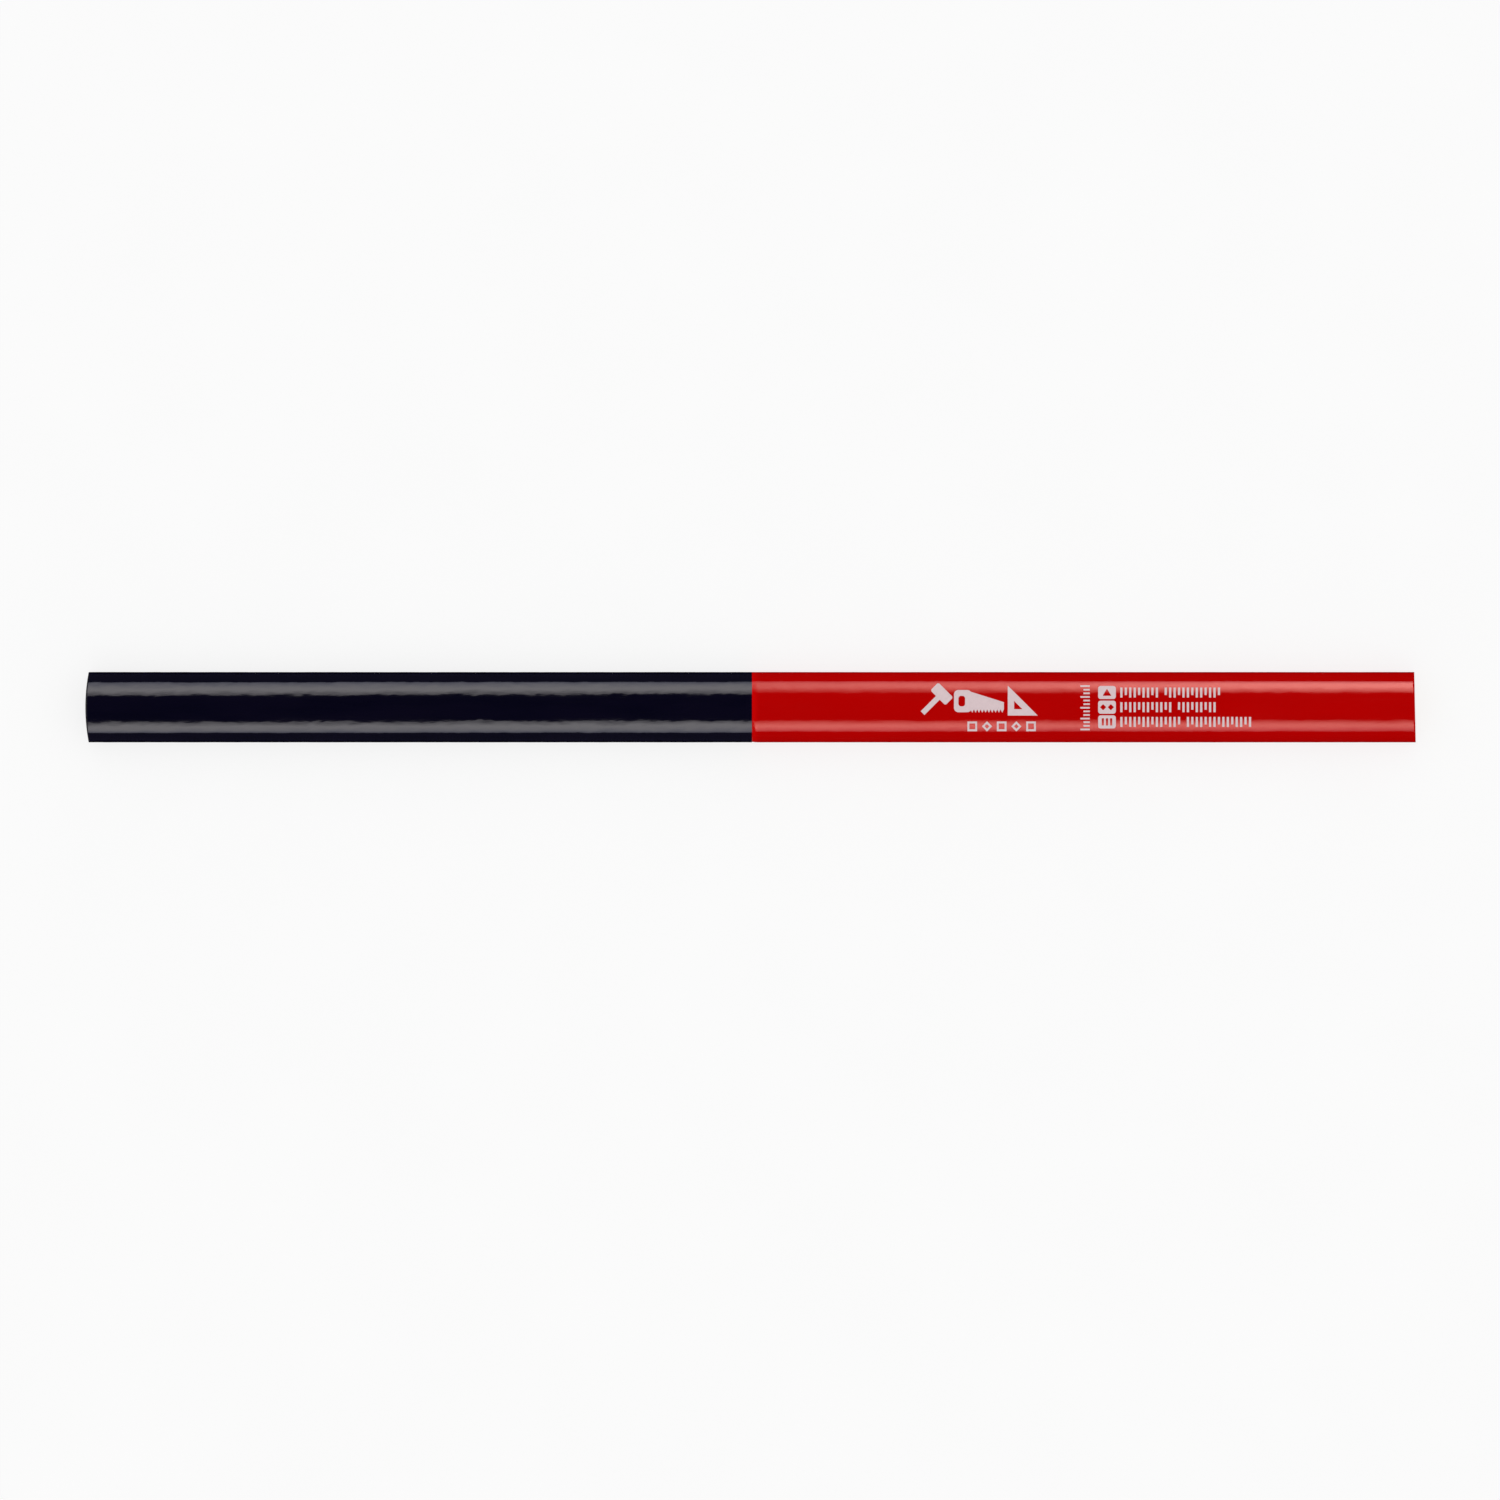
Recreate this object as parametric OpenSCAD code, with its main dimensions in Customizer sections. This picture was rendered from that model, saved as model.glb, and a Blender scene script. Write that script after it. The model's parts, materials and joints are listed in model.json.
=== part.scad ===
// Flat carpenter's pencil, 240 mm long, two-coloured and not yet sharpened.
// X runs along the pencil towards the red end, Y across its broad faces and Z up.
// The origin is on the ground under the middle of the pencil, which lies on a broad face.
// Two grooved wooden slats are glued round a flat two-colour core. Paint covers the wood:
// a pale base coat all over, then navy lacquer on one half and red lacquer on the other.
// The navy end was dipped, so it is closed by a low dome. The red end is sawn through.

/* [Pencil] */
// Whole length, from the top of the dipped dome to the sawn end
pencil_length = 240; // [200:1:300]
// Width across the painted pencil
pencil_width = 12.7; // [12:0.1:14]
// Thickness of the painted pencil
pencil_thickness = 7.3; // [7:0.1:8]
// Radius of the two narrow sides
side_radius = 3.05; // [2.7:0.05:3.3]
// Angle by which the sawn end is out of square
saw_slant = 1.2; // [0:0.1:3]
// Change of colour, from the middle of the pencil towards the red end
colour_change = 0.25; // [-8:0.25:8]

/* [Core] */
// Width of the flat core
core_width = 5; // [3.5:0.1:6]
// Thickness of the flat core
core_thickness = 2.2; // [1.5:0.1:2.8]
// Radius of the core's long edges
core_corner = 0.35; // [0.1:0.05:0.6]
// Glue line between the two slats, and round the core
glue_thickness = 0.1; // [0.06:0.02:0.2]

/* [Paint] */
// Colour lacquer over the base coat
lacquer_thickness = 0.1; // [0.08:0.01:0.2]
// Pale base coat over the wood
base_thickness = 0.15; // [0.12:0.01:0.25]
// Thickness of the dipped dome at its middle
dome_height = 0.7; // [0.4:0.05:1.2]
// Printed film above the lacquer
film_thickness = 0.04; // [0.03:0.01:0.08]

/* [Print] */
// Start of the three tool marks, from the middle of the pencil
emblem_start = 30.5; // [10:0.5:34]
// Start of the tick strip, the tags and the dash lines
panel_start = 59.5; // [57:0.5:64]
// Height of one dash in a line
dash_height = 1.8; // [1.2:0.1:2]
// Distance from one dash to the next in a line
dash_pitch = 0.8; // [0.7:0.05:1]

/* [Hidden] */
$fn = 96;
half_length = pencil_length / 2;
half_width = pencil_width / 2;
half_thickness = pencil_thickness / 2;

// The oval outline is four arcs that meet smoothly: two flat ones and two at the sides
side_centre = half_width - side_radius;
face_radius = (pow(side_centre, 2) + pow(half_thickness, 2) - pow(side_radius, 2))
    / (2 * (half_thickness - side_radius));
face_centre = face_radius - half_thickness;
meeting_sine = side_centre / (face_radius - side_radius);

// Layers, as distances from the painted surface to each one's outside
base_inset = lacquer_thickness;
wood_inset = lacquer_thickness + base_thickness;

// The wood starts under the dome, and the dome's rim is a lacquer thickness from it
wood_start = -half_length + dome_height;
rim_drop = dome_height - lacquer_thickness;
dome_radius = (pow(half_width, 2) + pow(rim_drop, 2)) / (2 * rim_drop);
dome_span = 2;

// The saw passed the axis here, so that its furthest corner is at the full length
saw_x = half_length - half_width * tan(saw_slant);
overrun = 4;

wood_colour = [0.80, 0.62, 0.42];
glue_colour = [0.86, 0.80, 0.66];
base_colour = [0.90, 0.87, 0.82];
navy = [0.03, 0.03, 0.09];
red = [0.68, 0.01, 0.01];
print_colour = [0.84, 0.80, 0.82];

// Cross-section, grown outwards or inwards from the painted surface
module oval(grow = 0) {
    meeting = (face_radius + grow) * meeting_sine;
    tall = 2 * pencil_thickness;
    intersection() {
        translate([0, -face_centre]) circle(face_radius + grow);
        translate([0, face_centre]) circle(face_radius + grow);
        square([2 * meeting, tall], center = true);
    }
    for (side = [-1, 1])
        intersection() {
            translate([side * side_centre, 0]) circle(side_radius + grow);
            translate([side * (meeting + half_width), 0])
                square([2 * half_width, tall], center = true);
        }
}

module rounded_box(size, corner) {
    square([size[0] - 2 * corner, size[1]], center = true);
    square([size[0], size[1] - 2 * corner], center = true);
    for (x = [-1, 1], y = [-1, 1])
        translate([x * (size[0] / 2 - corner), y * (size[1] / 2 - corner)])
            circle(corner);
}

module core_outline(grow = 0) {
    rounded_box([core_width + 2 * grow, core_thickness + 2 * grow], core_corner + grow);
}

// A flat outline drawn in Y and Z about the axis, carried along X from one place to another
module along(from, to) {
    translate([from, 0, half_thickness])
        rotate([90, 0, 90])
            linear_extrude(to - from)
                children();
}

// Everything that reaches the sawn end was cut by one stroke of the saw
module sawn() {
    reach = 4 * pencil_width;
    difference() {
        children();
        translate([saw_x, 0, 0])
            rotate([0, 0, saw_slant])
                translate([0, -reach / 2, -reach / 2])
                    cube([reach, reach, reach]);
    }
}

// Half of the wood, with a groove for half of the core: side is 1 for the upper slat
module slat(side) {
    sawn()
        along(wood_start, half_length + overrun)
            difference() {
                intersection() {
                    oval(-wood_inset);
                    translate([0, side * (glue_thickness / 2 + half_width)])
                        square(2 * half_width, center = true);
                }
                core_outline(glue_thickness);
            }
}

module casing_upper() {
    color(wood_colour) slat(1);
}

module casing_lower() {
    color(wood_colour) slat(-1);
}

// One spread of glue: the line between the slats and the bed round the core
module glue_film() {
    color(glue_colour)
        sawn()
            along(wood_start, half_length + overrun)
                difference() {
                    union() {
                        intersection() {
                            oval(-wood_inset);
                            square([pencil_width, glue_thickness], center = true);
                        }
                        core_outline(glue_thickness);
                    }
                    core_outline();
                }
}

// The core is two leads laid end to end, and they meet under the change of colour
module lead_blue() {
    color([0.07, 0.12, 0.45])
        along(wood_start, colour_change)
            core_outline();
}

module lead_red() {
    color([0.70, 0.08, 0.06])
        sawn()
            along(colour_change, half_length + overrun)
                core_outline();
}

module base_coat() {
    color(base_colour)
        sawn()
            along(wood_start, half_length + overrun)
                difference() {
                    oval(-base_inset);
                    oval(-wood_inset);
                }
}

// A tube of lacquer, closed by the dome that was left when the end was dipped
module lacquer_navy() {
    dome_end = -half_length + dome_span;
    color(navy)
        difference() {
            union() {
                along(dome_end, colour_change) oval();
                intersection() {
                    along(-half_length, dome_end) oval();
                    translate([dome_radius - half_length, 0, half_thickness])
                        sphere(dome_radius);
                }
            }
            along(wood_start, colour_change + overrun) oval(-base_inset);
        }
}

module lacquer_red() {
    color(red)
        sawn()
            along(colour_change, half_length + overrun)
                difference() {
                    oval();
                    oval(-base_inset);
                }
}

// A flat mark pressed onto the upper face as a film, placed from the middle of the pencil
module film(place, reach) {
    color(print_colour)
        intersection() {
            along(place[0] - reach, place[0] + reach)
                difference() {
                    oval(film_thickness);
                    oval();
                }
            translate([place[0], place[1], half_thickness])
                linear_extrude(pencil_thickness)
                    children();
        }
}

// Tool marks: each is drawn about its own middle
mark_height = 5.5;
mark_middle = 1.2;
mallet_place = [emblem_start + 2.8, mark_middle];
saw_place = [emblem_start + 10.9, mark_middle];
set_square_place = [emblem_start + 18.6, mark_middle];

module print_mallet() {
    head = [3.8, 2];
    handle = [0.95, 4];
    lean = -45;
    film(mallet_place, mark_height)
        rotate(lean) {
            translate([0, 1.7]) rounded_box(head, 0.35);
            translate([0, -1.2]) square(handle, center = true);
        }
}

module print_saw() {
    blade_start = -1.7;
    heel = 1.6;
    toe = 0.3;
    tooth = 0.6;
    teeth = 10;
    blade_end = blade_start + teeth * tooth;
    film(saw_place, 2 * mark_height) {
        difference() {
            translate([-3.1, -0.1]) rounded_box([3.2, 4], 0.8);
            translate([-3.3, -0.1]) rounded_box([1.2, 1.9], 0.5);
        }
        polygon(concat(
            [[blade_end, -toe], [blade_start, heel], [blade_start, -heel]],
            [for (i = [0:teeth - 1]) each [
                [blade_start + (i + 0.5) * tooth, -heel - tooth],
                [blade_start + (i + 1) * tooth, -heel]
            ]]
        ));
    }
}

module print_set_square() {
    leg = 5.4;
    rim = 1.15;
    // The slanted edge is as broad as the legs where the hole stops this far short of it
    hole = leg - rim * (2 + sqrt(2));
    film(set_square_place, mark_height)
        translate([-leg / 2, -leg / 2])
            difference() {
                polygon([[0, 0], [leg, 0], [0, leg]]);
                translate([rim, rim]) polygon([[0, 0], [hole, 0], [0, hole]]);
            }
}

// A row of small frames under the tool marks: squares, with every second one on its corner
module print_symbol_row() {
    frame = 1.75;
    diamond = 1.3;
    stroke = 0.35;
    pitch = 2.65;
    count = 5;
    film([emblem_start + 14.8, -3.45], 8)
        for (i = [0:count - 1])
            let (turned = i % 2 == 1, side = turned ? diamond : frame)
                translate([(i - (count - 1) / 2) * pitch, 0])
                    rotate(turned ? 45 : 0)
                        difference() {
                            square(side, center = true);
                            square(side - 2 * stroke, center = true);
                        }
}

// A graduated strip across the face: every third tick is a long one
module print_tick_strip() {
    ticks = 13;
    pitch = 0.65;
    film([panel_start + 0.85, -0.1], 2)
        for (i = [0:ticks - 1])
            let (long = i % 3 == 0 ? 1.7 : 1.15)
                translate([(1.7 - long) / 2, (i - (ticks - 1) / 2) * pitch])
                    square([long, 0.3], center = true);
}

// Filled tags, each with its own knocked-out shape
row_pitch = 2.65;
tag_size = [3.2, 2.35];
tag_x = panel_start + 4.8;

module tag(row) {
    film([tag_x, row * row_pitch], 3)
        difference() {
            rounded_box(tag_size, 0.45);
            children();
        }
}

module print_tag_top() {
    tag(1) polygon([[-0.8, -0.6], [0.8, -0.6], [0, 0.7]]);
}

module print_tag_middle() {
    tag(0) for (x = [-0.7, 0.7]) translate([x, 0]) rotate(45) square(0.8, center = true);
}

module print_tag_bottom() {
    tag(-1) for (x = [-0.75, 0, 0.75]) translate([x, 0]) square([0.4, 1.3], center = true);
}

// A line of short upright dashes in groups: a group's last dash is followed by a gap
line_x = panel_start + 7.2;

module dash_line(row, groups) {
    dash = dash_pitch / 2;
    // How many dashes and gaps come before each group
    starts = [for (g = 0, n = 0; g < len(groups); n = n + groups[g] + 1, g = g + 1) n];
    reach = (starts[len(groups) - 1] + groups[len(groups) - 1]) * dash_pitch;
    film([line_x, row * row_pitch], reach + dash_pitch)
        for (g = [0:len(groups) - 1])
            for (i = [0:groups[g] - 1])
                let (low = (starts[g] + i) % 3 == 1 ? 0.45 : 0)
                    translate([(starts[g] + i) * dash_pitch, low - dash_height / 2])
                        square([dash, dash_height - low]);
}

module print_line_top() {
    dash_line(1, [9, 13]);
}

module print_line_middle() {
    dash_line(0, [12, 9]);
}

module print_line_bottom() {
    dash_line(-1, [14, 15]);
}

casing_upper();
casing_lower();
glue_film();
lead_blue();
lead_red();
base_coat();
lacquer_navy();
lacquer_red();
print_mallet();
print_saw();
print_set_square();
print_symbol_row();
print_tick_strip();
print_tag_top();
print_tag_middle();
print_tag_bottom();
print_line_top();
print_line_middle();
print_line_bottom();
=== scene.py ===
# The looks of a flat carpenter's pencil: navy and red lacquer over two glued slats and a flat
# core. X runs along the pencil towards the red end and Z is up. Lengths are in metres.
import json
import math

import bmesh
import bpy
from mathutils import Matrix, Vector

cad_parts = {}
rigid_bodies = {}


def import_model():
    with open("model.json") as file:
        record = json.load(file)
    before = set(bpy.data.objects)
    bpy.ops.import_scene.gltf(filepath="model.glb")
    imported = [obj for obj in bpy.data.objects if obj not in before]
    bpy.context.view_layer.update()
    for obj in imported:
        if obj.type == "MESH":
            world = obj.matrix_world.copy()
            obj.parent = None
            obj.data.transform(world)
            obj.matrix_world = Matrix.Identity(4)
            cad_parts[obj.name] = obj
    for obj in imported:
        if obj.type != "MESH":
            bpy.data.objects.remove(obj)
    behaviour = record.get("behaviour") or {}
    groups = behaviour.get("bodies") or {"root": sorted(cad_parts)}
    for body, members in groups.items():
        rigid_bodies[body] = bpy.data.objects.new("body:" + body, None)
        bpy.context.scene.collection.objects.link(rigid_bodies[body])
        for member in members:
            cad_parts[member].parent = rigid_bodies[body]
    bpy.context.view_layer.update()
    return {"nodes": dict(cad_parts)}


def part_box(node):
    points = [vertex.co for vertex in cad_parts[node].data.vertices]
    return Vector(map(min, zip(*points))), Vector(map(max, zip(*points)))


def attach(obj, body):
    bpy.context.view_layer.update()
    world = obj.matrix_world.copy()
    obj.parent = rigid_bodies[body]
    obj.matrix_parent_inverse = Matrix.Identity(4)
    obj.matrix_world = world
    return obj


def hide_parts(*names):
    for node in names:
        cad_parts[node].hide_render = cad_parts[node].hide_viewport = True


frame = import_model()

MM = 0.001

# ---------------------------------------------------------------------------------------------
# The core. Two flat leads of clay, wax and pigment lie end to end in the wood, blue in the navy
# half and red in the red half. Only the red one shows, where the saw cut through it, and the
# cut is dull and a little crumbly.


class Wire:
    """One output of a node. Arithmetic on it adds Math nodes to the same tree."""

    def __init__(self, bench, socket):
        self.bench = bench
        self.socket = socket

    def __getitem__(self, name):
        """Another output of the same node."""
        outputs = self.socket.node.outputs
        return Wire(self.bench, next(s for s in outputs if s.identifier == name))

    def math(self, operation, *others):
        names = ("Value", "Value_001", "Value_002")
        values = dict(zip(names, (self,) + others))
        return self.bench.add("ShaderNodeMath", {"operation": operation}, values)

    def __add__(self, other):
        return self.math("ADD", other)

    def __radd__(self, other):
        return self.math("ADD", other)

    def __sub__(self, other):
        return self.math("SUBTRACT", other)

    def __rsub__(self, other):
        return self.math("MULTIPLY_ADD", -1.0, other)

    def __mul__(self, other):
        return self.math("MULTIPLY", other)

    def __rmul__(self, other):
        return self.math("MULTIPLY", other)

    def __truediv__(self, other):
        return self.math("DIVIDE", other)

    def __pow__(self, other):
        return self.math("POWER", other)

    def __gt__(self, other):
        return self.math("GREATER_THAN", other)

    def __lt__(self, other):
        return self.math("LESS_THAN", other)

    def rise(self, low, high):
        """0 below low, 1 above high, and a smooth step between them."""
        return self.bench.add(
            "ShaderNodeMapRange", {"interpolation_type": "SMOOTHSTEP"},
            {"Value": self, "From Min": low, "From Max": high},
        )


class Bench:
    """Adds nodes to one tree: a node's type, its settings, then its sockets' values or wires."""

    def __init__(self, tree):
        self.tree = tree

    def add(self, kind, settings=None, sockets=None):
        node = self.tree.nodes.new(kind)
        for name, value in (settings or {}).items():
            setattr(node, name, value)
        for name, value in (sockets or {}).items():
            socket = next(s for s in node.inputs if s.identifier == name)
            if isinstance(value, Wire):
                self.tree.links.new(value.socket, socket)
            else:
                socket.default_value = value
        shown = [s for s in node.outputs if s.enabled]
        return Wire(self, shown[0]) if shown else node

    def stretched(self, place, scale):
        """A place with each axis multiplied by its own number."""
        return self.add(
            "ShaderNodeVectorMath", {"operation": "MULTIPLY"},
            {"Vector": place, "Vector_001": scale},
        )

    def noise(self, place, scale, detail=2.0, roughness=0.5):
        return self.add(
            "ShaderNodeTexNoise", {},
            {"Vector": place, "Scale": scale, "Detail": detail, "Roughness": roughness},
        )

    def blended(self, share, first, second):
        """The first colour where share is 0, and the second where it is 1."""
        return self.add(
            "ShaderNodeMix", {"data_type": "RGBA"},
            {"Factor_Float": share, "A_Color": first, "B_Color": second},
        )["Result_Color"]


class Finish(Bench):
    """A material whose patterns are laid out in metres in the pencil's own frame."""

    def __init__(self, name):
        self.material = bpy.data.materials.new(name)
        self.material.use_nodes = True
        super().__init__(self.material.node_tree)
        self.tree.nodes.clear()
        self.place = self.add("ShaderNodeTexCoord")["Object"]
        split = self.add("ShaderNodeSeparateXYZ", {}, {"Vector": self.place})
        self.x, self.y, self.z = split["X"], split["Y"], split["Z"]

    def close(self, sockets, height=None):
        """The surface itself. height is the relief in metres."""
        if height is not None:
            sockets = dict(sockets)
            sockets["Normal"] = self.add(
                "ShaderNodeBump", {}, {"Height": height, "Distance": 1.0, "Strength": 1.0}
            )
        surface = self.add("ShaderNodeBsdfPrincipled", {}, sockets)
        self.add("ShaderNodeOutputMaterial", {}, {"Surface": surface})
        return self.material


def dressed(node, material):
    """A CAD node keeps its mesh and takes this material."""
    part = frame["nodes"][node]
    part.data.materials.clear()
    part.data.materials.append(material)
    return part


def lead_finish(name, pigment, pale):
    finish = Finish(name)
    grains = finish.noise(finish.place, 5200.0, 3.0, 0.6)
    clouds = finish.noise(finish.place, 900.0, 2.0)
    colour = finish.blended(grains.rise(0.45, 0.75), pigment, pale)
    drag = finish.noise(finish.stretched(finish.place, (900.0, 500.0, 9000.0)), 1.0, 2.0)
    relief = 9e-6 * grains + 7e-6 * drag + 10e-6 * clouds
    sockets = {"Base Color": colour, "Roughness": 0.45 + 0.3 * clouds, "IOR": 1.45}
    return finish.close(sockets, relief)


dressed("lead_blue", lead_finish("blue lead", (0.012, 0.03, 0.2, 1), (0.06, 0.1, 0.32, 1)))
dressed("lead_red", lead_finish("red lead", (0.36, 0.012, 0.008, 1), (0.6, 0.09, 0.06, 1)))

# ---------------------------------------------------------------------------------------------
# The casing. Two slats of pale close-grained wood, each grooved for half of the core, and cut
# from different boards. The sawn end shows their growth rings, fine pores, the scratches of
# the saw, and red lead that the blade dragged over the wood round the core.
core_low, core_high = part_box("lead_red")
DUST_REACH = 1.3 * MM


def end_grain(name, pith_y, pith_z, ring_gap, early, late):
    """Wood whose rings run round a pith outside the slat, with an early and a late colour."""
    finish = Finish(name)
    across = finish.y - pith_y
    up = finish.z - pith_z
    wander = finish.noise(finish.place, 260.0, 2.0)
    from_pith = (across * across + up * up) ** 0.5 + 0.5 * MM * wander
    ring = (from_pith / ring_gap).math("FRACT")
    late_wood = ring.rise(0.35, 0.95) * (1 - ring.rise(0.95, 1.0))
    colour = finish.blended(late_wood, early, late)
    tone = finish.noise(finish.stretched(finish.place, (30.0, 400.0, 400.0)), 1.0, 3.0)
    colour = finish.blended(0.35 * tone, colour, (0.36, 0.22, 0.11, 1))
    pore = finish.add("ShaderNodeTexVoronoi", {}, {"Vector": finish.place, "Scale": 6500.0})
    pores = 1 - pore["Distance"].rise(0.12, 0.3)
    colour = finish.blended(0.6 * pores, colour, (0.2, 0.11, 0.05, 1))

    # How far a point lies outside the core, for the dust that the saw carried
    middle_z = (core_low.z + core_high.z) / 2
    half_core = core_high.z - middle_z
    beside = (finish.y.math("ABSOLUTE") - core_high.y).math("MAXIMUM", 0.0)
    above = ((finish.z - middle_z).math("ABSOLUTE") - half_core).math("MAXIMUM", 0.0)
    away = (beside * beside + above * above) ** 0.5
    streaks = finish.noise(finish.stretched(finish.place, (1.0, 420.0, 5200.0)), 1.0, 3.0)
    dust = (1 - away.rise(0.0, DUST_REACH)) * streaks.rise(0.35, 0.7)
    colour = finish.blended(0.75 * dust, colour, (0.42, 0.03, 0.02, 1))

    scratches = finish.noise(finish.stretched(finish.place, (1.0, 160.0, 7000.0)), 1.0, 2.0)
    relief = 14e-6 * scratches - 12e-6 * pores + 5e-6 * late_wood
    return finish.close({"Base Color": colour, "Roughness": 0.62 + 0.25 * tone}, relief)


dressed("casing_upper", end_grain(
    "upper slat", pith_y=6 * MM, pith_z=31 * MM, ring_gap=1.15 * MM,
    early=(0.74, 0.52, 0.3, 1), late=(0.52, 0.31, 0.15, 1)))
dressed("casing_lower", end_grain(
    "lower slat", pith_y=-9 * MM, pith_z=-26 * MM, ring_gap=0.85 * MM,
    early=(0.7, 0.47, 0.27, 1), late=(0.47, 0.27, 0.13, 1)))

# ---------------------------------------------------------------------------------------------
# The glue. White wood glue that was spread over both slats and pressed out to a thin, slightly
# yellow line, and a bed round the core.
glue = Finish("dried glue")
glue_clouds = glue.noise(glue.place, 1800.0, 3.0)
glue_colour = glue.blended(glue_clouds, (0.62, 0.5, 0.3, 1), (0.4, 0.27, 0.13, 1))
dressed("glue_film", glue.close(
    {"Base Color": glue_colour, "Roughness": 0.3 + 0.25 * glue_clouds}, 6e-6 * glue_clouds))

# ---------------------------------------------------------------------------------------------
# The base coat. A pale filler and undercoat that closes the wood's pores before the colour goes
# on. At the sawn end it is a fine chalky ring between the wood and the red.
base = Finish("base coat")
base_grains = base.noise(base.place, 4200.0, 3.0)
base_colour = base.blended(base_grains, (0.8, 0.74, 0.64, 1), (0.66, 0.57, 0.47, 1))
dressed("base_coat", base.close(
    {"Base Color": base_colour, "Roughness": 0.6 + 0.2 * base_grains}, 5e-6 * base_grains))

# ---------------------------------------------------------------------------------------------
# The red lacquer. It was laid on thinly over the red half up to a mask at the middle, so its
# surface flows down to a thin edge there, lower on one side. It ends at the saw cut.
red_low, red_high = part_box("lacquer_red")
base_low, base_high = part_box("base_coat")
HALF_LENGTH = round(red_high.x, 4)
COLOUR_CHANGE = round(red_low.x, 5)
HALF_WIDTH = round(red_high.y, 5)
AXIS_HEIGHT = round(red_high.z / 2, 5)
COAT = round(red_high.y - base_high.y, 5)
SIDE_RADIUS = 3.05 * MM
SAW_SLANT = math.radians(1.2)
SAW_X = HALF_LENGTH - HALF_WIDTH * math.tan(SAW_SLANT)
AROUND = 132
ARC_POINTS = 96
RING_GAP = 0.3 * MM
SAME_SPOT = 2e-7
# The thin edge's fall: how steep it is, its share on the axis, and how much more on one side
EDGE_CURVE = 1.3
EDGE_SHARE = 0.62
EDGE_LEAN = 0.6
# How often the lacquer's long swells and short waves repeat in X, Y and Z
SWELLS_PER_METRE = (45.0, 260.0, 260.0)
WAVES_PER_METRE = (380.0, 700.0, 700.0)


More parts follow.
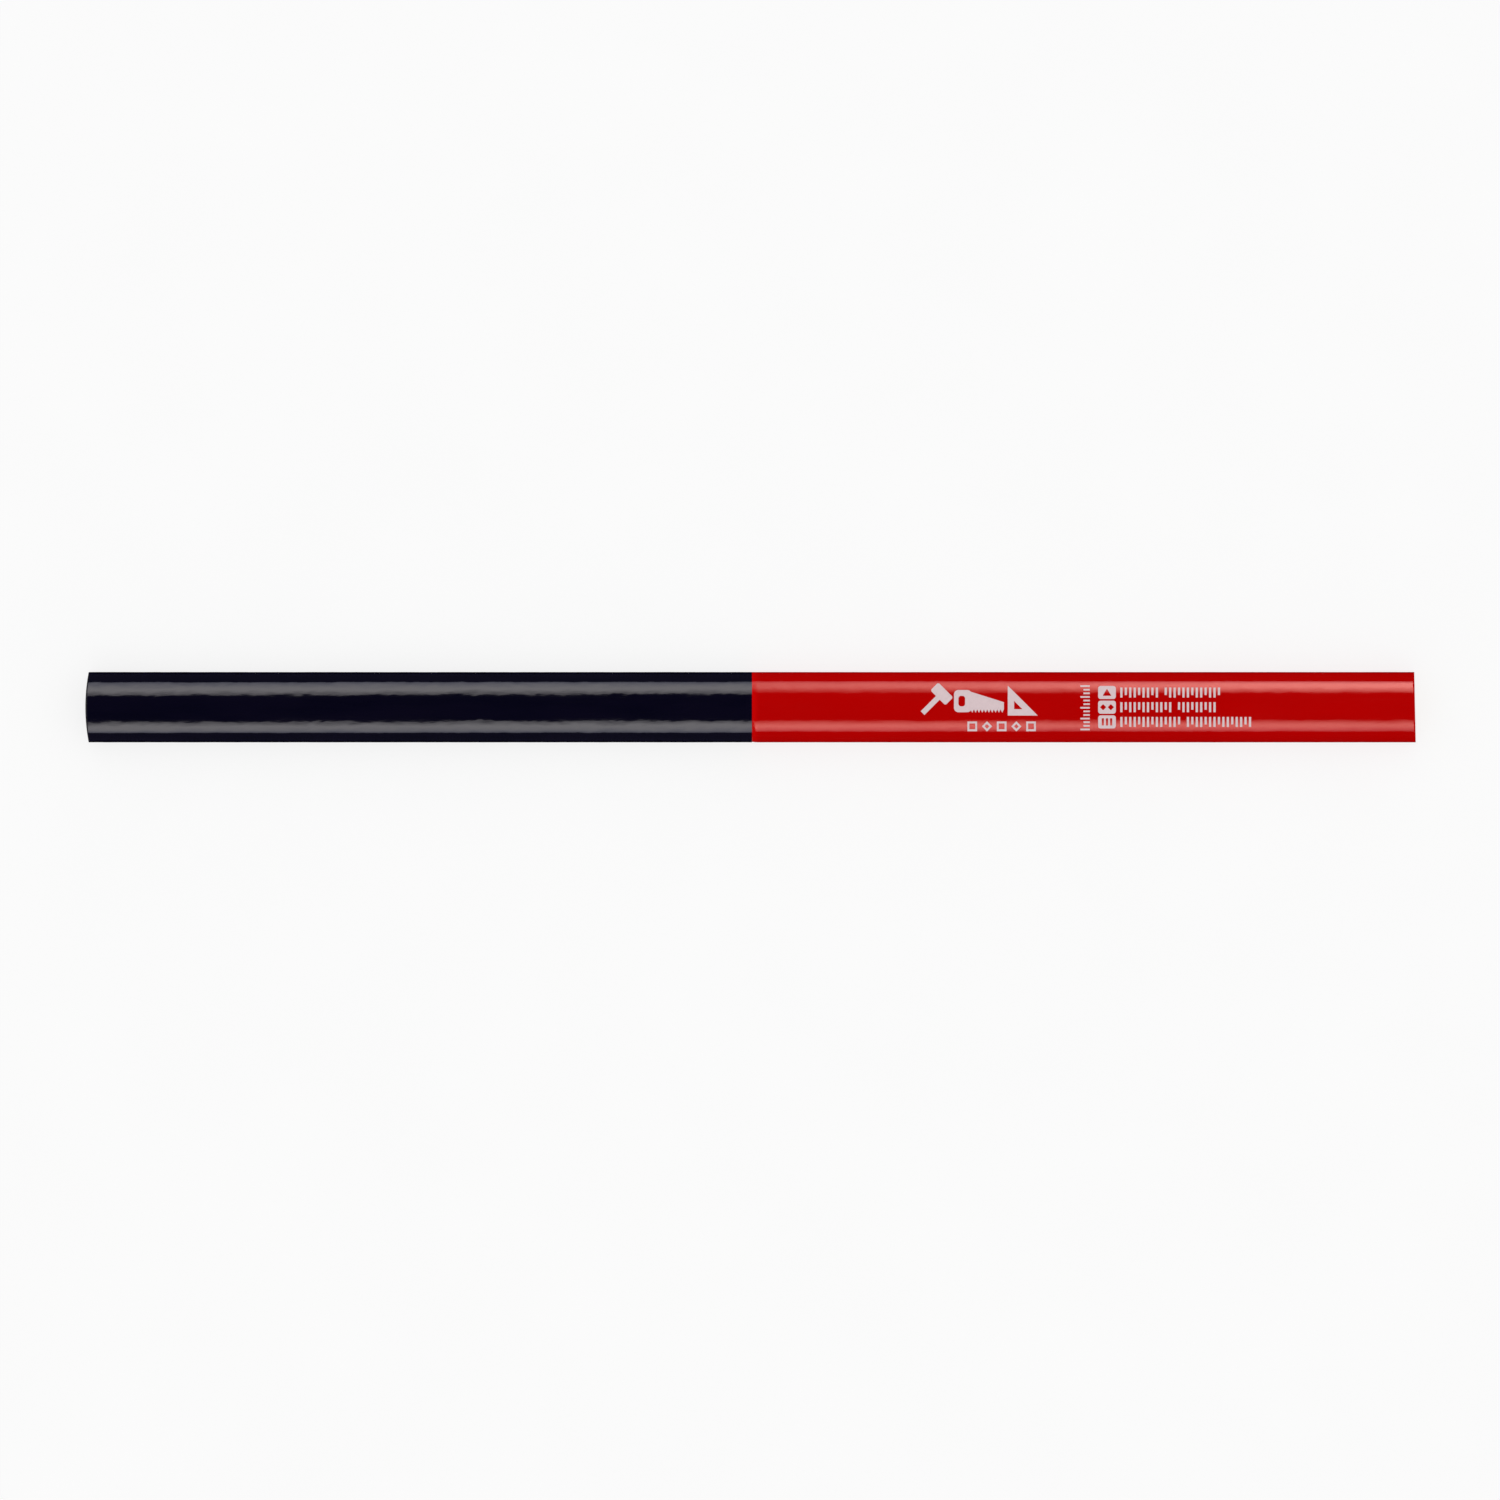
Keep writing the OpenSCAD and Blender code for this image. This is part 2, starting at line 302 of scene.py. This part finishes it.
def coat_tree():
    """Carries a coat's meridian round the pencil's oval. Each point of the meridian gives a place
    along the pencil, an inset from the painted surface, and a share of the way from the axis."""
    tree = bpy.data.node_groups.new("coat round the oval", "GeometryNodeTree")
    bench = Bench(tree)
    kinds = {
        "Meridian": "Geometry", "Around": "Int", "Side Radius": "Float", "Side Centre": "Float",
        "Face Radius": "Float", "Face Centre": "Float", "Meeting Angle": "Float",
        "Axis Height": "Float", "Coat": "Float", "Slant": "Float", "Slant Length": "Float",
        "Inner Rows": "Int", "Dome End": "Float", "Dome Radius": "Float", "Dome Fade": "Float",
        "Edge": "Float", "Edge Width": "Float", "Edge Drop": "Float",
        "Wave": "Float", "Swell": "Float", "Seed": "Float", "Lacquer": "Material",
    }
    for name, kind in kinds.items():
        tree.interface.new_socket(name=name, in_out="INPUT", socket_type="NodeSocket" + kind)
    tree.interface.new_socket(name="Coat", in_out="OUTPUT", socket_type="NodeSocketGeometry")
    entry = tree.nodes.new("NodeGroupInput")
    given = {s.name: Wire(bench, s) for s in entry.outputs if s.name}

    # The oval outline: two side arcs and two broad ones, which meet smoothly
    meeting = given["Meeting Angle"]
    broad_start = math.pi / 2 - meeting
    side_sweep = 2 * broad_start
    arcs = bench.tree.nodes.new("GeometryNodeJoinGeometry")
    for turn in (0, 1):
        facing = 1 - 2 * turn
        for radius, start, sweep, shift in (
            (given["Side Radius"], -1 * broad_start + math.pi * turn, side_sweep,
             {"X": facing * given["Side Centre"]}),
            (given["Face Radius"], broad_start + math.pi * turn, 2 * meeting,
             {"Y": -facing * given["Face Centre"]}),
        ):
            arc = bench.add(
                "GeometryNodeCurveArc", {"mode": "RADIUS"},
                {
                    "Resolution": ARC_POINTS, "Radius": radius, "Start Angle": start,
                    "Sweep Angle": sweep,
                },
            )
            moved = bench.add(
                "GeometryNodeTransform", {},
                {"Geometry": arc, "Translation": bench.add("ShaderNodeCombineXYZ", {}, shift)},
            )
            tree.links.new(moved.socket, arcs.inputs[0])
    wire = bench.add("GeometryNodeCurveToMesh", {}, {"Curve": Wire(bench, arcs.outputs[0])})
    closed = bench.add("GeometryNodeMergeByDistance", {}, {"Geometry": wire, "Distance": 1e-6})
    oval = bench.add("GeometryNodeMeshToCurve", {}, {"Mesh": closed})

    # One row of the grid for each point of the meridian, one column for each step round the oval
    size = bench.add("GeometryNodeAttributeDomainSize", {}, {"Geometry": given["Meridian"]})
    columns = given["Around"] + 1
    grid = bench.add("GeometryNodeMeshGrid", {}, {"Vertices X": size, "Vertices Y": columns})
    index = bench.add("GeometryNodeInputIndex")
    row = (index / columns).math("FLOOR")
    turn = (index - row * columns) / given["Around"]
    meridian_point = bench.add(
        "GeometryNodeSampleIndex", {"data_type": "FLOAT_VECTOR"},
        {
            "Geometry": given["Meridian"], "Value": bench.add("GeometryNodeInputPosition"),
            "Index": row,
        },
    )
    point = bench.add("ShaderNodeSeparateXYZ", {}, {"Vector": meridian_point})
    along, inset, share = point["X"], point["Y"], point["Z"]
    on_oval = bench.add(
        "GeometryNodeSampleCurve", {"mode": "FACTOR"}, {"Curves": oval, "Factor": turn})
    outline = bench.add("ShaderNodeSeparateXYZ", {}, {"Vector": on_oval["Position"]})
    tangent = bench.add("ShaderNodeSeparateXYZ", {}, {"Vector": on_oval["Tangent"]})
    outward = (outline["X"] * tangent["Y"] - outline["Y"] * tangent["X"]).math("SIGN")
    normal_y = outward * tangent["Y"]
    normal_z = -1 * outward * tangent["X"]

    # Only the outer skin flows and thins; the inner wall lies on the base coat
    skin = inset < 0.5 * given["Coat"]
    past_edge = (along - given["Edge"]).math("ABSOLUTE") / given["Edge Width"]
    thinned = (1 - past_edge.math("MINIMUM", 1.0)) ** EDGE_CURVE
    sideways = outline["X"] / (given["Side Centre"] + given["Side Radius"])
    lean = (EDGE_SHARE - EDGE_LEAN * sideways).math("MINIMUM", 1.0)
    drop = given["Edge Drop"] * thinned * lean
    place = bench.add(
        "ShaderNodeCombineXYZ", {},
        {"X": along + given["Seed"], "Y": outline["X"], "Z": outline["Y"]},
    )
    swell = bench.noise(bench.stretched(place, SWELLS_PER_METRE), 1.0, 1.0) - 0.5
    wave = bench.noise(bench.stretched(place, WAVES_PER_METRE), 1.0, 1.0) - 0.5
    depth = inset + skin * (drop - given["Swell"] * swell - given["Wave"] * wave)
    section_y = (outline["X"] - normal_y * depth) * share
    section_z = (outline["Y"] - normal_z * depth) * share

    # One end follows the slanted saw cut, and the other is part of a wide sphere
    cut = (along / given["Slant Length"]).math("MAXIMUM", 0.0) * given["Slant"].math("TANGENT")
    near_end = 1 - ((along - given["Dome End"]) / given["Dome Fade"]).rise(0.0, 1.0)
    outer_rows = row > given["Inner Rows"] - 0.5
    out_squared = section_y * section_y + section_z * section_z
    bulge = outer_rows * near_end * out_squared / (2 * given["Dome Radius"])
    spot = bench.add("ShaderNodeCombineXYZ", {}, {
        "X": along - cut * section_y + bulge, "Y": section_y,
        "Z": section_z + given["Axis Height"],
    })
    placed = bench.add("GeometryNodeSetPosition", {}, {"Geometry": grid, "Position": spot})
    merged = bench.add(
        "GeometryNodeMergeByDistance", {}, {"Geometry": placed, "Distance": SAME_SPOT})
    real = bench.add("GeometryNodeRealizeInstances", {}, {"Geometry": merged})
    dressed_coat = bench.add(
        "GeometryNodeSetMaterial", {}, {"Geometry": real, "Material": given["Lacquer"]})
    leaving = tree.nodes.new("NodeGroupOutput")
    tree.links.new(dressed_coat.socket, leaving.inputs[0])
    return tree


SHARP_CORNER = math.radians(40)


def made_by(tree, name, source, values):
    """Runs a tree on a source mesh and returns the result as a plain piece that faces outwards."""
    maker = bpy.data.objects.new(name + "_source", source)
    bpy.context.scene.collection.objects.link(maker)
    modifier = maker.modifiers.new("making", "NODES")
    modifier.node_group = tree
    for item in tree.interface.items_tree:
        if item.in_out == "INPUT" and item.name in values:
            modifier[item.identifier] = values[item.name]
    depsgraph = bpy.context.evaluated_depsgraph_get()
    mesh = bpy.data.meshes.new_from_object(maker.evaluated_get(depsgraph), depsgraph=depsgraph)
    maker.modifiers.remove(modifier)
    bpy.data.objects.remove(maker)
    shape = bmesh.new()
    shape.from_mesh(mesh)
    bmesh.ops.recalc_face_normals(shape, faces=shape.faces)
    for face in shape.faces:
        face.smooth = True
    shape.to_mesh(mesh)
    shape.free()
    mesh.set_sharp_from_angle(angle=SHARP_CORNER)
    mesh.name = name
    piece = bpy.data.objects.new(name, mesh)
    bpy.context.scene.collection.objects.link(piece)
    return piece


def steps(start, end, gap):
    """Evenly spaced places from start to end, both included, about a gap apart."""
    count = max(1, round(abs(end - start) / gap))
    return [start + (end - start) * i / count for i in range(count + 1)]


def meridian(name, points):
    mesh = bpy.data.meshes.new(name)
    mesh.from_pydata(points, [(i, i + 1) for i in range(len(points) - 1)], [])
    return mesh


side_centre = HALF_WIDTH - SIDE_RADIUS
face_radius = (side_centre**2 + AXIS_HEIGHT**2 - SIDE_RADIUS**2)
face_radius /= 2 * (AXIS_HEIGHT - SIDE_RADIUS)
oval = {
    "Around": AROUND,
    "Side Radius": SIDE_RADIUS,
    "Side Centre": side_centre,
    "Face Radius": face_radius,
    "Face Centre": face_radius - AXIS_HEIGHT,
    "Meeting Angle": math.asin(side_centre / (face_radius - SIDE_RADIUS)),
    "Axis Height": AXIS_HEIGHT,
    "Coat": COAT,
}
coat = coat_tree()

EDGE_WIDTH = 0.95 * MM
EDGE_DROP = 0.093 * MM
SAWN_ROUND = 0.05 * MM
sawn_rim = [
    (SAW_X - SAWN_ROUND * (1 - math.sin(a)), SAWN_ROUND * (1 - math.cos(a)), 1.0)
    for a in steps(0.0, math.pi / 2, math.pi / 8)
]
shoulder_end = COLOUR_CHANGE + EDGE_WIDTH
red_outside = [(x, 0.0, 1.0) for x in steps(COLOUR_CHANGE, shoulder_end, 0.05 * MM)]
red_outside += [(x, 0.0, 1.0) for x in steps(shoulder_end, SAW_X - SAWN_ROUND, RING_GAP)[1:-1]]
red_meridian = [(SAW_X, COAT, 1.0), (COLOUR_CHANGE, COAT, 1.0)] + red_outside
red_meridian += sawn_rim + [(SAW_X, COAT, 1.0)]


def lacquer_finish(name, body, deep, thin, tint, ior, peel):
    """Glossy pigmented lacquer. body and deep are its colour where it lies thinner and thicker,
    and thin is its colour beside the change of colour. tint is the hue of its shine, and peel is
    the height of its fine ripples, in metres."""
    finish = Finish(name)
    depth = finish.noise(finish.stretched(finish.place, (60.0, 300.0, 300.0)), 1.0, 3.0)
    colour = finish.blended(depth.rise(0.3, 0.7), body, deep)
    from_edge = (finish.x - COLOUR_CHANGE).math("ABSOLUTE")
    colour = finish.blended(1 - from_edge.rise(-0.3 * MM, 1.6 * MM), colour, thin)
    ripples = finish.noise(finish.stretched(finish.place, (420.0, 1500.0, 1500.0)), 1.0, 2.0, 0.5)
    patches = finish.noise(finish.stretched(finish.place, (90.0, 160.0, 160.0)), 1.0, 1.0)
    fine = finish.noise(finish.stretched(finish.place, (1100.0, 3800.0, 3800.0)), 1.0, 1.0)
    specks = finish.noise(finish.place, 5200.0, 1.0)
    relief = peel * (0.5 + patches) * (ripples + 0.3 * fine) + 0.9e-6 * specks.rise(0.68, 0.82)
    rubbed = finish.noise(finish.stretched(finish.place, (70.0, 2600.0, 2600.0)), 1.0, 2.0)
    sockets = {
        "Base Color": colour,
        "Roughness": 0.05 + 0.05 * patches + 0.05 * rubbed.rise(0.55, 0.8),
        "IOR": ior,
        "Specular Tint": tint,
    }
    return finish.close(sockets, relief)


red_finish = lacquer_finish(
    "red lacquer", body=(0.465, 0.0001, 0.0002, 1), deep=(0.45, 0.0001, 0.0002, 1),
    thin=(0.62, 0.0005, 0.001, 1), tint=(1.0, 0.5, 0.43, 1), ior=1.6, peel=3.5e-6)
red_coat = made_by(coat, "red_lacquer", meridian("red meridian", red_meridian), {
    **oval, "Slant": SAW_SLANT, "Slant Length": SAW_X, "Lacquer": red_finish, "Seed": 0.0,
    "Inner Rows": 2, "Dome End": -HALF_LENGTH, "Dome Radius": 1.0, "Dome Fade": 3 * MM,
    "Edge": COLOUR_CHANGE, "Edge Width": EDGE_WIDTH, "Edge Drop": EDGE_DROP,
    "Wave": 20e-6, "Swell": 20e-6,
})
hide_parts("lacquer_red")
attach(red_coat, "root")

# ---------------------------------------------------------------------------------------------
# The navy lacquer. The other half was dipped, so its surface is livelier. It stands a little
# proud of the red's thin edge, and it closes the end with a low dome and a round rim.
RIM_RADIUS = 0.09 * MM
DOME_RISE = 0.6 * MM
WOOD_START = round(base_low.x, 5)

navy_meridian = [(WOOD_START, COAT, 0.0), (WOOD_START, COAT, 1.0), (COLOUR_CHANGE, COAT, 1.0)]
inner_rows = len(navy_meridian)
navy_meridian += [
    (x, 0.0, 1.0) for x in steps(COLOUR_CHANGE, RIM_RADIUS - HALF_LENGTH, RING_GAP)[:-1]
]
navy_meridian += [
    (RIM_RADIUS * (1 - math.sin(a)) - HALF_LENGTH, RIM_RADIUS * (1 - math.cos(a)), 1.0)
    for a in steps(0.0, math.pi / 2, math.pi / 16)
]
navy_meridian += [(-HALF_LENGTH, RIM_RADIUS, share) for share in steps(1.0, 0.0, 0.04)[1:]]

navy_finish = lacquer_finish(
    "navy lacquer", body=(0.0018, 0.0016, 0.0072, 1), deep=(0.0028, 0.0022, 0.0088, 1),
    thin=(0.0028, 0.0022, 0.0088, 1), tint=(1.0, 1.0, 1.0, 1), ior=1.55, peel=7e-6)
navy_coat = made_by(coat, "navy_lacquer", meridian("navy meridian", navy_meridian), {
    **oval, "Slant": 0.0, "Slant Length": HALF_LENGTH, "Lacquer": navy_finish, "Seed": 3.0,
    "Inner Rows": inner_rows, "Dome End": -HALF_LENGTH, "Dome Fade": 3 * MM,
    "Dome Radius": (HALF_WIDTH**2 + DOME_RISE**2) / (2 * DOME_RISE),
    "Edge": COLOUR_CHANGE, "Edge Width": EDGE_WIDTH, "Edge Drop": 0.0,
    "Wave": 40e-6, "Swell": 20e-6,
})
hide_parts("lacquer_navy")
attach(navy_coat, "root")

# ---------------------------------------------------------------------------------------------
# The print. Light grey film, pressed onto the red lacquer with a heated die. It follows every
# swell of the lacquer, and its edges are as ragged as a soft film breaks.
FILM = 0.025 * MM
RAGGEDNESS = 0.04 * MM
TEARS_PER_METRE = 2600.0
CELL = 0.25 * MM
ABOVE_PENCIL = 20 * MM
# The least upward share of a normal that makes a face part of a mark's top
UPWARD = 0.3


def flat_mark(node):
    """A mark's outline from above, cut into small even cells."""
    shape = bmesh.new()
    shape.from_mesh(frame["nodes"][node].data)
    bmesh.ops.remove_doubles(shape, verts=shape.verts, dist=1e-7)
    shape.normal_update()
    walls = [face for face in shape.faces if face.normal.z < UPWARD]
    bmesh.ops.delete(shape, geom=walls, context="FACES")
    for corner in shape.verts:
        corner.co.z = 0.0
    bmesh.ops.dissolve_limit(shape, angle_limit=0.01, verts=shape.verts, edges=shape.edges)
    low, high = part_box(node)
    for axis, normal in ((0, (1, 0, 0)), (1, (0, 1, 0))):
        for place in steps(low[axis], high[axis], CELL)[1:-1]:
            whole = shape.verts[:] + shape.edges[:] + shape.faces[:]
            on_plane = tuple(place * n for n in normal)
            bmesh.ops.bisect_plane(
                shape, geom=whole, plane_co=on_plane, plane_no=normal, dist=1e-8)
    mesh = bpy.data.meshes.new(node)
    shape.to_mesh(mesh)
    shape.free()
    return mesh


def film_tree():
    """Lays a flat mark on the lacquer, with slightly ragged edges and a film's thickness. The film
    has a top and edges, and is open underneath, where the lacquer is."""
    tree = bpy.data.node_groups.new("film pressed on lacquer", "GeometryNodeTree")
    bench = Bench(tree)
    kinds = {
        "Mark": "Geometry", "Lacquer": "Object", "Thickness": "Float", "Cuts": "Int",
        "Raggedness": "Float", "Film": "Material",
    }
    for name, kind in kinds.items():
        tree.interface.new_socket(name=name, in_out="INPUT", socket_type="NodeSocket" + kind)
    tree.interface.new_socket(name="Film", in_out="OUTPUT", socket_type="NodeSocketGeometry")
    entry = tree.nodes.new("NodeGroupInput")
    given = {s.name: Wire(bench, s) for s in entry.outputs if s.name}

    fine = bench.add(
        "GeometryNodeSubdivideMesh", {}, {"Mesh": given["Mark"], "Level": given["Cuts"]})
    here = bench.add("GeometryNodeInputPosition")
    flat = bench.add("ShaderNodeSeparateXYZ", {}, {"Vector": here})
    tear_x = bench.noise(here, TEARS_PER_METRE, 2.0) - 0.5
    tear_y = bench.noise(bench.stretched(here, (-1.0, 1.0, 1.0)), TEARS_PER_METRE, 2.0) - 0.5
    above = bench.add("ShaderNodeCombineXYZ", {}, {
        "X": flat["X"] + given["Raggedness"] * tear_x,
        "Y": flat["Y"] + given["Raggedness"] * tear_y,
        "Z": ABOVE_PENCIL,
    })
    lacquer = bench.add("GeometryNodeObjectInfo", {}, {"Object": given["Lacquer"]})["Geometry"]
    hit = bench.add(
        "GeometryNodeRaycast", {},
        {"Target Geometry": lacquer, "Source Position": above,
         "Ray Direction": (0.0, 0.0, -1.0), "Ray Length": 1.0},
    )
    laid = bench.add(
        "GeometryNodeSetPosition", {}, {"Geometry": fine, "Position": hit["Hit Position"]})
    raised = bench.add(
        "GeometryNodeExtrudeMesh", {"mode": "FACES"},
        {
            "Mesh": laid, "Offset": (0.0, 0.0, 1.0), "Offset Scale": given["Thickness"],
            "Individual": False,
        },
    )
    real = bench.add("GeometryNodeRealizeInstances", {}, {"Geometry": raised["Mesh"]})
    filmed = bench.add(
        "GeometryNodeSetMaterial", {}, {"Geometry": real, "Material": given["Film"]})
    leaving = tree.nodes.new("NodeGroupOutput")
    tree.links.new(filmed.socket, leaving.inputs[0])
    return tree


film_finish = Finish("printed film")
mottle = film_finish.noise(film_finish.place, 1500.0, 3.0, 0.6)
pinholes = film_finish.noise(film_finish.place, 4300.0, 2.0)
film_colour = film_finish.blended(mottle, (0.74, 0.595, 0.605, 1), (0.635, 0.50, 0.515, 1))
film_material = film_finish.close({
    "Base Color": film_colour,
    "Roughness": 0.42 + 0.2 * mottle,
    "Alpha": 1 - 0.85 * pinholes.rise(0.73, 0.78),
}, 3e-6 * mottle)

film = film_tree()
for node in sorted(n for n in frame["nodes"] if n.startswith("print_")):
    mark = made_by(film, node.replace("print_", "film_"), flat_mark(node), {
        "Lacquer": red_coat, "Thickness": FILM, "Cuts": 1, "Raggedness": RAGGEDNESS,
        "Film": film_material,
    })
    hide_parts(node)
    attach(mark, "root")

# ---------------------------------------------------------------------------------------------
# The studio. A pale lit floor, and soft boxes along both sides of the pencil whose light is
# strongest in a line and falls off towards their edges. The two halves have their own boxes, as
# their lacquers mirror the light at slightly different heights.


def everything_but(name, pieces):
    """The objects that a lamp lights: all of them except these pieces."""
    lit = bpy.data.collections.new(name)
    for thing in bpy.context.scene.objects:
        if thing.type == "MESH" and thing not in pieces:
            lit.objects.link(thing)
    return lit


films = [o for o in bpy.context.scene.objects if o.name.startswith("film_")]
navy_half = everything_but("lit with the navy half", [red_coat] + films)
red_half = everything_but("lit with the red half", [navy_coat])
BOX_DISTANCE = 0.8
NAVY_BOX_END = 0.25
RED_BOX_END = 0.15


def side_box(name, side, end, angles, turn, strength, shoulder, fade, lit):
    """A soft box along one side, which reaches to end both ways. angles are its inner edge,
    brightest line and outer edge, from straight up, and turn is how far it is swung round on its
    stand, all in degrees. shoulder is its edges' share of the light, and fade is the share that
    the middle of the pencil gets of the light at the red end."""
    inner, bright, outer = (math.radians(a) for a in angles)
    tilt = (inner + outer) / 2
    half = BOX_DISTANCE * math.tan((outer - inner) / 2)
    line = 0.5 + BOX_DISTANCE * math.tan(bright - tilt) / (2 * half)
    lamp = bpy.data.lights.new(name, "AREA")
    lamp.shape = "RECTANGLE"
    lamp.size = 2 * end
    lamp.size_y = 2 * half
    lamp.energy = 4 * lamp.size * lamp.size_y * strength
    lamp.use_nodes = True
    glow = Bench(lamp.node_tree)
    glow.tree.nodes.clear()
    spot = glow.add("ShaderNodeSeparateXYZ", {}, {
        "Vector": glow.add("ShaderNodeNewGeometry")["Parametric"],
    })
    along = spot["X"]
    out = spot["Y"] if side > 0 else 1 - spot["Y"]
    ridge = out.rise(0.0, line) * (1 - out.rise(line, 1.0))
    reach = (2 * along - 1) * (end / HALF_LENGTH)
    light = (shoulder + (1 - shoulder) * ridge) * (fade + (1 - fade) * reach)
    tone = glow.blended(out.rise(line, 1.0), (1.0, 0.965, 0.99, 1), (0.9, 0.91, 1.1, 1))
    shine = glow.add("ShaderNodeEmission", {}, {"Color": tone, "Strength": light})
    glow.add("ShaderNodeOutputLight", {}, {"Surface": shine})
    box = bpy.data.objects.new(name, lamp)
    box.location = (0.0, side * BOX_DISTANCE * math.sin(tilt), BOX_DISTANCE * math.cos(tilt))
    box.rotation_mode = "ZYX"
    box.rotation_euler = (-side * tilt, 0.0, math.radians(turn))
    box.light_linking.receiver_collection = lit
    bpy.context.scene.collection.objects.link(box)
    return box


for side, name in ((-1, "near"), (1, "far")):
    side_box(
        "navy_box_" + name, side, end=NAVY_BOX_END, angles=(23.2, 31.5, 49.0), turn=19,
        strength=2.35, shoulder=0.45, fade=1.0, lit=navy_half)
    wall = side_box(
        "navy_wall_" + name, side, end=NAVY_BOX_END, angles=(52, 70, 120), turn=0,
        strength=0.03, shoulder=1.0, fade=1.0, lit=navy_half)
    wall.visible_diffuse = False
side_box(
    "red_box_near", -1, end=RED_BOX_END, angles=(22.7, 31.8, 43.8), turn=8,
    strength=3.5, shoulder=0.28, fade=1.0, lit=red_half)
side_box(
    "red_box_far", 1, end=RED_BOX_END, angles=(24.5, 34.8, 53.5), turn=8,
    strength=6.5, shoulder=0.25, fade=0.455, lit=red_half)

# The room that the lacquer mirrors: paler higher up and past the pencil's ends, and dark
# straight above and beside the pencil
ROOM_RADIUS = 3.0
ROOM_GLOW = 0.42
room_mesh = bpy.data.meshes.new("room")
room_shape = bmesh.new()
bmesh.ops.create_icosphere(room_shape, subdivisions=4, radius=ROOM_RADIUS)
room_shape.to_mesh(room_mesh)
room_shape.free()
room = bpy.data.objects.new("room", room_mesh)
bpy.context.scene.collection.objects.link(room)
walls = Finish("room walls")
height = (walls.z.math("ABSOLUTE") / ROOM_RADIUS).rise(0.05, 0.55)
beyond = (walls.x.math("ABSOLUTE") / ROOM_RADIUS).rise(0.15, 0.5)
glow = walls.add(
    "ShaderNodeEmission", {}, {"Color": beyond * (0.16 + 0.84 * height), "Strength": ROOM_GLOW})
walls.add("ShaderNodeOutputMaterial", {}, {"Surface": glow})
room_mesh.materials.append(walls.material)
room.visible_camera = False
room.visible_diffuse = False
room.visible_shadow = False

FLOOR_REACH = 6.0
FLOOR_GLOW = 0.79
floor_mesh = bpy.data.meshes.new("floor")
floor_mesh.from_pydata(
    [(x * FLOOR_REACH, y * FLOOR_REACH, 0) for x, y in ((-1, -1), (1, -1), (1, 1), (-1, 1))],
    [], [(0, 1, 2, 3)])
floor = bpy.data.objects.new("floor", floor_mesh)
bpy.context.scene.collection.objects.link(floor)
paper = Finish("floor paper")
paper_tone = paper.noise(paper.place, 40.0, 2.0)
paper_colour = paper.blended(paper_tone, (0.23, 0.23, 0.23, 1), (0.21, 0.21, 0.21, 1))
floor_mesh.materials.append(paper.close({
    "Base Color": paper_colour, "Roughness": 0.9,
    "Emission Color": (1, 1, 1, 1), "Emission Strength": FLOOR_GLOW,
}))
floor.visible_glossy = False

SKY_GLOW = 0.77
world = bpy.data.worlds.new("studio")
world.use_nodes = True
sky = world.node_tree.nodes["Background"]
sky.inputs["Color"].default_value = (1, 1, 1, 1)
sky.inputs["Strength"].default_value = SKY_GLOW
world.cycles_visibility.glossy = False
bpy.context.scene.world = world
bpy.context.scene.view_settings.view_transform = "Standard"

# The camera looks straight down from far off, a little below the pencil's middle
VIEW_WIDTH = 270.6 * MM
CAMERA_PLACE = (-0.1 * MM, -7.72 * MM, 500 * MM)
camera_data = bpy.data.cameras.new("camera")
camera_data.type = "ORTHO"
camera_data.ortho_scale = VIEW_WIDTH
camera = bpy.data.objects.new("camera", camera_data)
camera.location = CAMERA_PLACE
bpy.context.scene.collection.objects.link(camera)
bpy.context.scene.camera = camera
